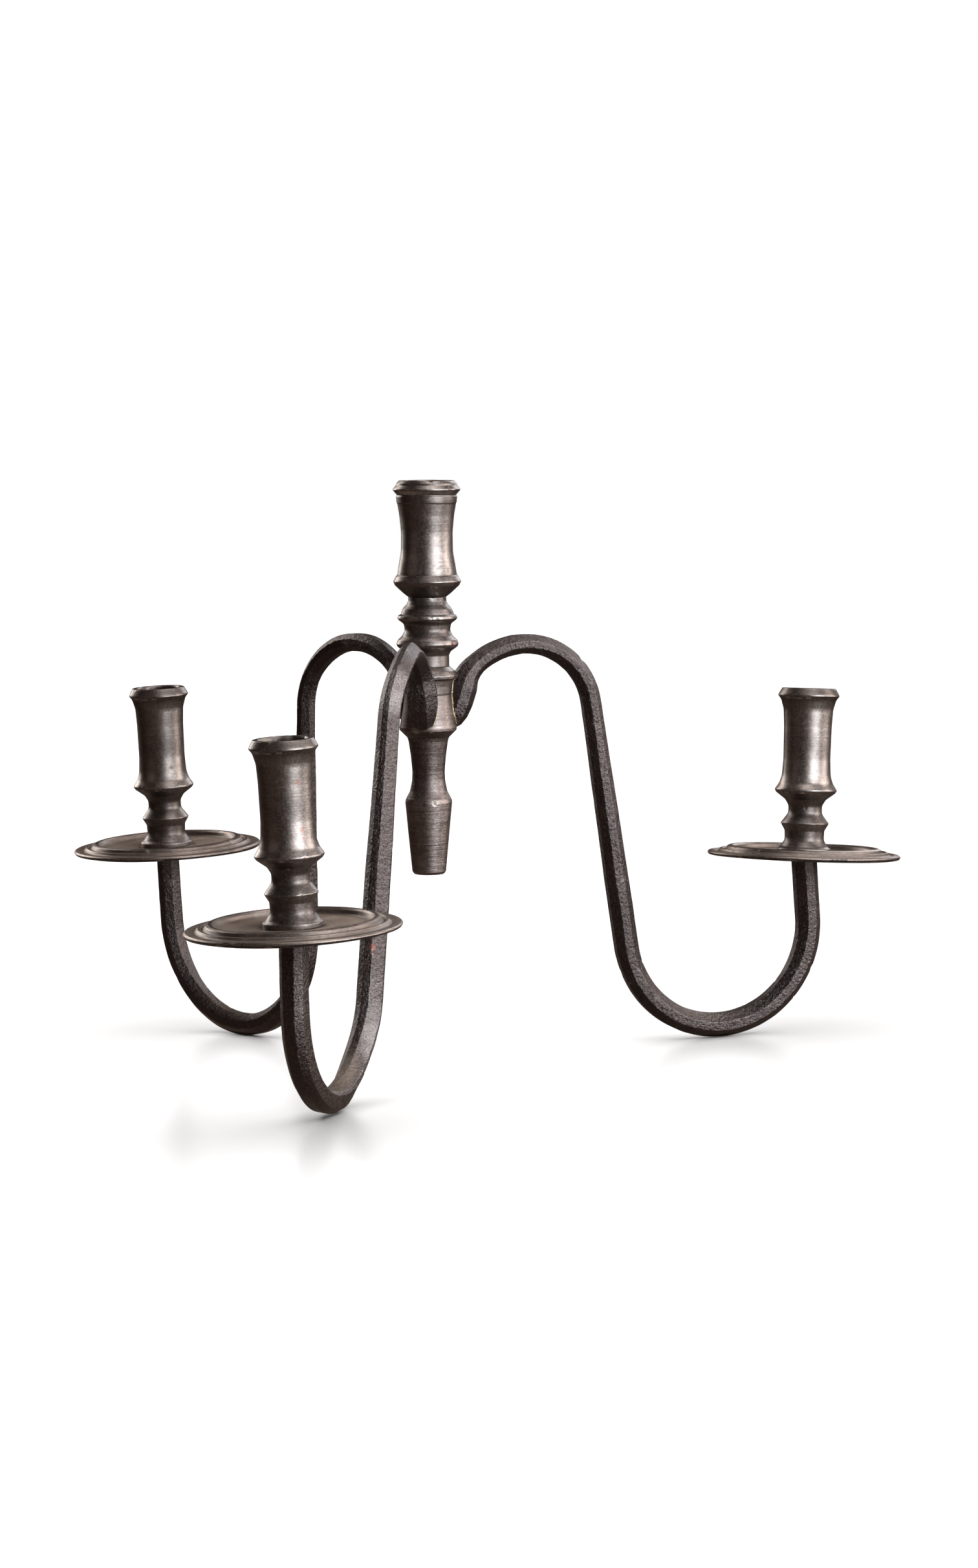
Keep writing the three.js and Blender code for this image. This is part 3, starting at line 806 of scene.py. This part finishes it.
TURNED = patinated("turned_metal", "#83766f", "#2e211d", "#c4bdb8", 0.36, lines=0.45, grain=0.3,
                   line_depth=0.6, dust=1.0, dust_color="#a89c8c", coat=0.5)
PLUG = patinated("plug_metal", "#857570", "#2b1e19", "#c9bbb0", 0.38, lines=1.6, line_depth=1.4,
                 line_scale=1.1, grain=0.4, coat=0.45)
CAST = patinated("cast_metal", "#453936", "#1f130f", "#8b8380", 0.38, grain=7.0, grain_scale=0.6,
                 mottling=0.45, dust=0.8, dust_color="#756456", coat=0.45, pits=0.7)
PAN = patinated("pan_metal", "#7c6d65", "#2a1f1a", "#beb4aa", 0.36, lines=0.8, grain=0.5, dust=0.85,
                dust_color="#9c8878", line_depth=0.8)
BRAZE = patinated("braze_metal", "#a08566", "#4a3626", "#bfa685", 0.5, grain=0.8, coat=0.1)
STUD = patinated("stud_metal", "#a8946c", "#4b4030", "#cdbb92", 0.35, grain=0.4)

# ---- Pieces -----------------------------------------------------------------------------------------

def by_height(*levels):
    """Soot and painted shade that depend on the height alone."""
    return lambda radius, height, up: {"soot_and_shade": np.interp(height, *zip(*levels))}


def socket_shade(seat, *levels):
    """Soot and painted shade by height outside a candle socket; inside, the bore is darkened all over.
    """
    def shade(radius, height, up):
        inside = (radius < BORE + 0.5) & (height > seat - 0.5)
        return {"soot_and_shade": np.where(inside, 0.9, np.interp(height, *zip(*levels)))}
    return shade


# How much darker a pan's grooves are, as (radius, amount, width), and the dust on it as (radius,
# amount).
PAN_GROOVES = ((15.0, 0.55, 1.1), (35.3, 0.85, 0.8), (41.6, 0.95, 0.8), (45.5, 0.85, 0.7))
PAN_DUST = ((14, 0.3), (16, 0.9), (34, 1.0), (36, 0.35), (38, 0.0), (40.5, 0.1), (41.6, 0.5),
            (43, 0.1), (45.5, 0.5), (47, 0.4), (49, 0.3), (50, 0))


def pan_shade(radius, height, up):
    """Dust on the pan's floor and steps, darker grooves, and painted shade underneath."""
    groove_darkening = sum(amount * np.exp(-((radius - at) / width) ** 2) for at, amount, width in PAN_GROOVES)
    below = up < -0.2
    lying = np.interp(radius, *zip(*PAN_DUST)) * np.clip(up * 1.4, 0, 1)
    return {"soot_and_shade": np.where(below, 0.8, groove_darkening), "dust": np.where(below, 0, lying)}


def pan_matrix(number):
    """The frame of an arm's pan and socket: at its joint, with Z along the joint's axis."""
    joint = JOINTS[f"socket_{number}_turn"]
    turn = Vector((0, 0, 1)).rotation_difference(Vector(joint["axis"]))
    return Matrix.Translation(Vector(joint["pos_m"])) @ turn.to_matrix().to_4x4()


# The outlines run from the axis at the bottom round the outside to the axis at the top, those of rings
# all the way round. Each corner is (radius, height, radius of its rounding).
PLUG_OUTLINE = [
    # the tapered plug
    (0, 0), (7.6, 0, 0.5), (8.55, 1.3, 0.6), (11.9, PLUG_LENGTH, 0.35), (11.6, 38.1, 1.0),
    # the neck
    (9.5, 42.1, 6), (8.4, 47.5, 14), (8.2, 52, 20), (8.9, 60, 20), (10, 67.7, 1.2), (10.6, 69.4, 0.5),
    # the lower half of the spool
    (14.4, SPOOL_BOTTOM, 0.25), (14.5, 74.5, 0.5), (13.4, 80, 10), (12.5, 85.5, 16), (12, 90.6, 4),
    (12, SPOOL_SEAM - GAP / 2, 0.2),
    # the rod's hole
    (ROD_HOLE, SPOOL_SEAM - GAP / 2, 0.2), (ROD_HOLE, 61, 0.2), (0, 61),
]
# Soot and painted shade by height: the bottom end, the neck under the spool and the spool's lower half
# darkened.
PLUG_SOOT_AND_SHADE = ((0, 0.4), (2, 0.1), (34, 0.1), (36.3, 0), (38.5, 0.5), (42, 0.7), (50, 0.75), (62, 0.75),
             (68, 0.8), (72, 0.8), (73.5, 0.5), (74.5, 0.25), (78, 0.5), (90, 0.5), (91.3, 0.9))
SPOOL_OUTLINE = [
    (ROD_HOLE, SPOOL_SEAM + GAP / 2, 0.2), (12, SPOOL_SEAM + GAP / 2, 0.2), (12.3, 95.5, 10),
    (12.9, 98.6, 0.4), (14.7, 99.4, 0.3), (14.9, 100.8, 0.6), (13.6, 103.1, 1.5),
    (11.2, SPOOL_TOP - GAP / 2, 0.2), (ROD_HOLE, SPOOL_TOP - GAP / 2, 0.2),
]
# Soot and painted shade by height: the seam, the underside of the ring and the top darkened.
SPOOL_SOOT_AND_SHADE = ((91.3, 0.9), (92.2, 0.45), (97.8, 0.5), (98.9, 0.7), (99.8, 0.1), (101, 0.1), (103, 0.4),
              (105, 0.6))
KNOP_OUTLINE = [
    # the neck and the lower ring
    (ROD_HOLE, SPOOL_TOP + GAP / 2, 0.2), (10.9, SPOOL_TOP + GAP / 2, 0.2), (10.9, 111, 1.5),
    (11.9, 112.9, 1.5), (14.6, 114.8, 0.4), (15.2, 115.3, 0.3), (15.8, 116.7, 0.6), (15, 118.8, 0.8),
    # the waist, the upper ring and the top
    (12.9, 120.8, 2.5), (11.5, 123.5, 3), (12, 126.8, 2), (14.4, 128.6, 0.3), (15.2, 129.6, 0.4),
    (14.9, 130.9, 0.5), (13.5, 131.7, 0.3), (13.2, 132.6, 0.3), (12.4, 134.5, 2), (10.5, 136.6, 2),
    (9.6, 138.4, 1.5), (9.6, KNOP_TOP - GAP / 2, 0.2), (ROD_HOLE, KNOP_TOP - GAP / 2, 0.2),
]
# Soot and painted shade by height: the neck, the waist and the lines between the rings darkened.
KNOP_SOOT_AND_SHADE = ((105, 0.8), (106, 0.55), (111, 0.65), (114.6, 0.5), (116.7, 0.15), (119, 0.5),
             (121, 0.75), (124, 0.75), (127.5, 0.5), (129.8, 0.1), (131.9, 0.65), (134, 0.6),
             (137, 0.65), (140, 0.8))
CENTRAL_OUTLINE = [
    # the candle bore
    (0, CENTRAL_SEAT), (BORE, CENTRAL_SEAT, 0.6), (BORE, SOCKET_TOP - 0.9, 0.4),
    (BORE + 0.7, SOCKET_TOP, 0.5),
    # the lip
    (14, SOCKET_TOP, 0.6), (15.2, 197.4, 0.5), (15.5, 196.4, 0.3), (17.3, 194.3, 0.9),
    (15.6, 192.3, 0.4), (15.0, 191.6, 0.4), (15.4, 190.6, 0.4), (15.1, 187.7, 0.3), (14.8, 187.3, 0.4),
    # the waisted body
    (13.8, 181.3, 14), (13, 173, 24), (13.1, 163, 24), (14, 158, 14), (14.9, 152.6, 3),
    # the foot and the rod's hole
    (15.1, 151.4, 0.3), (15.7, 150.9, 0.3), (17.2, 148.2, 0.9), (16.2, 146.1, 0.5), (12, 142.2, 2),
    (9.6, KNOP_TOP + GAP / 2, 0.3), (ROD_HOLE, KNOP_TOP + GAP / 2, 0.2), (ROD_HOLE, 152.4, 0.2),
    (0, 152.4),
]
# Soot and painted shade by height: under the foot's flare, in the lines of the lip, and on the lip
# where it would catch the light.
CENTRAL_SOOT_AND_SHADE = ((140, 0.7), (142, 0.6), (146, 0.5), (148.2, 0.1), (150.3, 0.2), (151.2, 0.8),
                (152.4, 0.1), (156, 0), (186, 0.05), (187.5, 0.5), (189.5, 0.1), (191.6, 0.6),
                (193, 0.3), (194.5, 0.05), (196.4, 0.4), (198.8, 0.5))
PAN_OUTLINE = [
    # the floor and the steps of the rim
    (STUD_HOLE, PAN_FLOOR, 0.2), (34.8, PAN_FLOOR, 0.8), (35.7, 1.4, 0.4), (36.5, 3.1, 0.7),
    (37.5, 3.95, 0.7), (38.8, 4.05, 0.8), (40.1, 3.5, 0.6), (40.9, 2.0, 0.5), (41.6, 1.3, 0.3),
    (42.1, 1.9, 0.3), (42.8, 2.45, 0.4), (43.8, 2.3, 0.4), (44.6, 1.1, 0.4), (45.4, 0.55, 0.3),
    (46.1, 0.9, 0.3), (47.6, 1.25, 0.8), (49.6, 0.95, 0.5), (50.3, 0.3, 0.4), (50.5, -0.2, 0.4),
    # the underside and its boss
    (49.8, -1.3, 0.6), (48, -1.7, 1.5), (9.4, -1.7, 0.6), (8.6, PAN_SEAT, 0.3),
    (STUD_HOLE, PAN_SEAT, 0.2),
]
SOCKET_OUTLINE = [
    # the candle bore
    (0, ARM_SEAT), (BORE, ARM_SEAT, 0.6), (BORE, 86.1, 0.4), (BORE + 0.7, ARM_SOCKET_TOP, 0.5),
    # the lip and the waisted body
    (14.0, ARM_SOCKET_TOP, 0.6), (15.9, 83.6, 0.4), (16, 82.9, 0.3), (14.8, 81.4, 0.4),
    (14.3, 80.4, 1.5), (13, 76, 10), (12.5, 67, 24), (12.3, 50, 24), (12.8, 41, 14), (14.1, 37.2, 6),
    # the ring, the neck and the knop
    (16.4, 33.7, 1.1), (15.3, 32.1, 0.7), (10.7, 28.7, 3), (8.8, 25.6, 4), (8.8, 21.5, 4),
    (12.6, 16.4, 0.4), (12.1, 15.4, 0.4), (10.4, 12.5, 2.2),
    # the foot disc and the stud's hole
    (10.2, 7.5, 5), (12.4, 4.2, 2.5), (14, 3, 0.8), (14, PAN_FLOOR + GAP, 0.15),
    (STUD_HOLE, PAN_FLOOR + GAP, 0.2), (STUD_HOLE, 15.6, 0.2), (0, 15.6),
]
# Soot and painted shade by height: the foot, the neck and under the ring darkened, and the lip where it
# would catch the light.
SOCKET_SOOT_AND_SHADE = ((0, 0.8), (3, 0.6), (5, 0.7), (12, 0.72), (15.2, 0.55), (16.4, 0.15), (18, 0.5),
               (22, 0.7), (28, 0.75), (32, 0.6), (33.7, 0.1), (37, 0), (76, 0.05), (80.5, 0.6),
               (82, 0.5), (83.4, 0.35), (85, 0.6), (87, 0.6))

revolve("stem_plug", PLUG_OUTLINE, UPRIGHT, "head", PLUG, ["plug_stem"], 1,
        nicks=26, shade=by_height(*PLUG_SOOT_AND_SHADE), scars=PLUG_SCARS)
revolve("stem_spool_cap", SPOOL_OUTLINE, UPRIGHT, "head", TURNED, ["spool_cap"], 2,
        ring=True, nicks=10, shade=by_height(*SPOOL_SOOT_AND_SHADE))
revolve("stem_knop", KNOP_OUTLINE, UPRIGHT, "knop", TURNED, ["centre_knop"], 3,
        ring=True, nicks=20, shade=by_height(*KNOP_SOOT_AND_SHADE), scars=KNOP_SCARS)
revolve("stem_candle_socket", CENTRAL_OUTLINE, UPRIGHT, "central_socket", TURNED,
        ["central_candle_socket"], 4, nicks=34, shade=socket_shade(CENTRAL_SEAT, *CENTRAL_SOOT_AND_SHADE),
        scars=CENTRAL_SCARS)
make_thread("stem_tie_rod", ROD_RADIUS, 62, 151.2, UPRIGHT, STUD, "tie_rod")

for index in range(len(ARMS)):
    number = index + 1
    place = pan_matrix(number)
    make_arm(index, CAST, BRAZE)
    make_thread(f"stud_{number}", STUD_RADIUS, -11.9, 14.5, place, STUD, f"arm_stud_{number}")
    revolve(f"pan_{number}", PAN_OUTLINE, place, f"pan_{number}", PAN,
            [f"drip_pan_{number}"], 10 + number, segments=256, step=0.7, ring=True, wobble=0.16,
            nicks=30, nick_size=(0.9, 2.4), nick_depth=(0.1, 0.4), shade=pan_shade,
            scars=PAN_SCARS[index])
    revolve(f"light_socket_{number}", SOCKET_OUTLINE, place, f"socket_{number}",
            TURNED, [f"candle_socket_{number}"], 20 + number, nicks=22, scars=SOCKET_SCARS[index],
            shade=socket_shade(ARM_SEAT, *SOCKET_SOOT_AND_SHADE))

# ---- Floor, light and camera ------------------------------------------------------------------------

# The camera's heading in degrees, and its place in metres.
YAW, PITCH, ROLL = 18.02, -5.47, -0.32
CAMERA_PLACE = (-0.5730, -1.8603, 0.2318)
LENS_MM, SENSOR_MM = 88.7, 36
FAR_CLIP = 200

# The floor, in metres: half its width, and how far it lies below the arms' lowest points.
FLOOR_HALF = 5.5
FLOOR_CLEARANCE = 0.0002
PAPER = {"Base Color": (0.86, 0.86, 0.86, 1), "Roughness": 0.25, "Specular IOR Level": 0.2}

# The lights on the head: (name, azimuth, elevation, distance, width, height, watts, colour). Azimuth 0
# is at the camera, and positive to the camera's right.
LIGHTS = [
    ("key", 42, 15, 1.7, 1.0, 1.15, 50, (0.84, 0.935, 1.0)),
    ("side", 92, 16, 1.9, 0.8, 1.2, 30, (1.0, 0.97, 0.94)),
    ("rim", -140, 20, 1.9, 0.4, 1.2, 12, (1.0, 0.95, 0.9)),
    ("back", 152, 28, 1.9, 0.5, 1.2, 9, (0.97, 0.97, 1.0)),
    ("fill", -60, 20, 2.2, 1.2, 1.4, 1.3, (1.0, 0.92, 0.87)),
    ("top", 60, 76, 1.6, 0.8, 0.8, 13, (1.0, 1.0, 1.0)),
]
LIGHT_TARGET = (0.0, 0.0, 0.06)

# The warm light that the floor throws back at the head, from just above the floor.
BOUNCE = ("bounce", 0, 0, 0.3, 1.2, 1.2, 0.6, (1.0, 0.78, 0.64))
BOUNCE_CLEARANCE = 0.001

# The floor's own lights, and the dim room round the head.
BACKDROP = ("backdrop", 180, 12, 6.0, 14.0, 3.0, 140, (1.0, 1.0, 1.0))
SKY_STRENGTH, SKY_ANGLE = 4.7, 100
ROOM_COLOR = (0.043, 0.026, 0.0205, 1)


def camera_axes():
    """The camera's right, up and forward directions."""
    yaw, pitch, roll = (math.radians(a) for a in (YAW, PITCH, ROLL))
    ahead = Vector((math.sin(yaw) * math.cos(pitch), math.cos(yaw) * math.cos(pitch), math.sin(pitch)))
    right = Vector((math.cos(yaw), -math.sin(yaw), 0))
    up = right.cross(ahead)
    return (right * math.cos(roll) + up * math.sin(roll),
            -right * math.sin(roll) + up * math.cos(roll), ahead)


right, up, ahead = camera_axes()
lens = bpy.data.cameras.new("camera")
lens.lens = LENS_MM
lens.sensor_width = SENSOR_MM
lens.clip_end = FAR_CLIP
camera = bpy.data.objects.new("camera", lens)
camera.matrix_world = Matrix((
    (right.x, up.x, -ahead.x, CAMERA_PLACE[0]), (right.y, up.y, -ahead.y, CAMERA_PLACE[1]),
    (right.z, up.z, -ahead.z, CAMERA_PLACE[2]), (0, 0, 0, 1)))
bpy.context.scene.collection.objects.link(camera)
bpy.context.scene.camera = camera


def lowest(name):
    """The lowest point of a piece that stands in the frame itself."""
    mesh = bpy.data.objects[name].data
    return min((vertex.co for vertex in mesh.vertices), key=lambda co: co.z).copy()


a, b, c = (lowest(f"arm_bar_{k}") for k in (1, 2, 3))
floor_normal = (b - a).cross(c - a).normalized()
if floor_normal.z < 0:
    floor_normal.negate()
floor_mesh = bpy.data.meshes.new("floor")
floor_mesh.from_pydata([(x * FLOOR_HALF, y * FLOOR_HALF, 0)
                        for x, y in ((-1, -1), (1, -1), (1, 1), (-1, 1))], [], [(0, 1, 2, 3)])
floor = bpy.data.objects.new("floor", floor_mesh)
floor.rotation_mode = "QUATERNION"
floor.rotation_quaternion = Vector((0, 0, 1)).rotation_difference(floor_normal)
floor.location = (a + b + c) / 3 - floor_normal * FLOOR_CLEARANCE
bpy.context.scene.collection.objects.link(floor)
paper = bpy.data.materials.new("paper")
paper.use_nodes = True
for key, value in PAPER.items():
    paper.node_tree.nodes["Principled BSDF"].inputs[key].default_value = value
floor_mesh.materials.append(paper)
floor.visible_glossy = False
floor.visible_diffuse = False

# The head and the floor are lit apart, so that the floor stays an even white.
floor_only = bpy.data.collections.new("floor_only")
floor_only.objects.link(floor)
floor_left_out = bpy.data.collections.new("floor_left_out")
floor_left_out.objects.link(floor)
floor_left_out.collection_objects[0].light_linking.link_state = "EXCLUDE"


def softbox(name, azimuth, elevation, distance, width, height, power, color, lit=floor_left_out):
    """An area light that looks at the head from the given side."""
    data = bpy.data.lights.new(name, "AREA")
    data.shape = "RECTANGLE"
    data.size, data.size_y = width, height
    data.energy = power
    data.color = color
    light = bpy.data.objects.new(name, data)
    turn, lift = math.radians(azimuth), math.radians(elevation)
    level_right = Vector((right.x, right.y, 0)).normalized()
    level_ahead = Vector((ahead.x, ahead.y, 0)).normalized()
    away = (-level_ahead * math.cos(turn) + level_right * math.sin(turn)) * math.cos(lift)
    away = away + Vector((0, 0, math.sin(lift)))
    light.location = Vector(LIGHT_TARGET) + away * distance
    light.rotation_mode = "QUATERNION"
    light.rotation_quaternion = away.to_track_quat("Z", "Y")
    light.light_linking.receiver_collection = lit
    light.visible_camera = False
    bpy.context.scene.collection.objects.link(light)
    return light


for settings in LIGHTS:
    softbox(*settings)
bounce = softbox(*BOUNCE)
above_floor = (bounce.location - floor.location).dot(floor_normal)
bounce.rotation_quaternion = (-floor_normal).to_track_quat("Z", "Y")
bounce.location -= floor_normal * (above_floor - BOUNCE_CLEARANCE)
softbox(*BACKDROP, lit=floor_only)

sky = bpy.data.lights.new("sky", "SUN")
sky.energy = SKY_STRENGTH
sky.angle = math.radians(SKY_ANGLE)
overhead = bpy.data.objects.new("sky", sky)
overhead.light_linking.receiver_collection = floor_only
overhead.visible_glossy = False
bpy.context.scene.collection.objects.link(overhead)

# The camera sees white beyond the floor, and the head is lit by the dim room.
world = bpy.data.worlds.new("studio")
bpy.context.scene.world = world
world.use_nodes = True
tree = world.node_tree
tree.nodes.clear()
path = tree.nodes.new("ShaderNodeLightPath")
seen = tree.nodes.new("ShaderNodeBackground")
seen.inputs["Color"].default_value = (1, 1, 1, 1)
seen.inputs["Strength"].default_value = 1.0
room = tree.nodes.new("ShaderNodeBackground")
room.inputs["Color"].default_value = ROOM_COLOR
mixer = tree.nodes.new("ShaderNodeMixShader")
out = tree.nodes.new("ShaderNodeOutputWorld")
tree.links.new(path.outputs["Is Camera Ray"], mixer.inputs[0])
tree.links.new(room.outputs[0], mixer.inputs[1])
tree.links.new(seen.outputs[0], mixer.inputs[2])
tree.links.new(mixer.outputs[0], out.inputs["Surface"])

view = bpy.context.scene.view_settings
view.view_transform = "Standard"
view.look = "None"
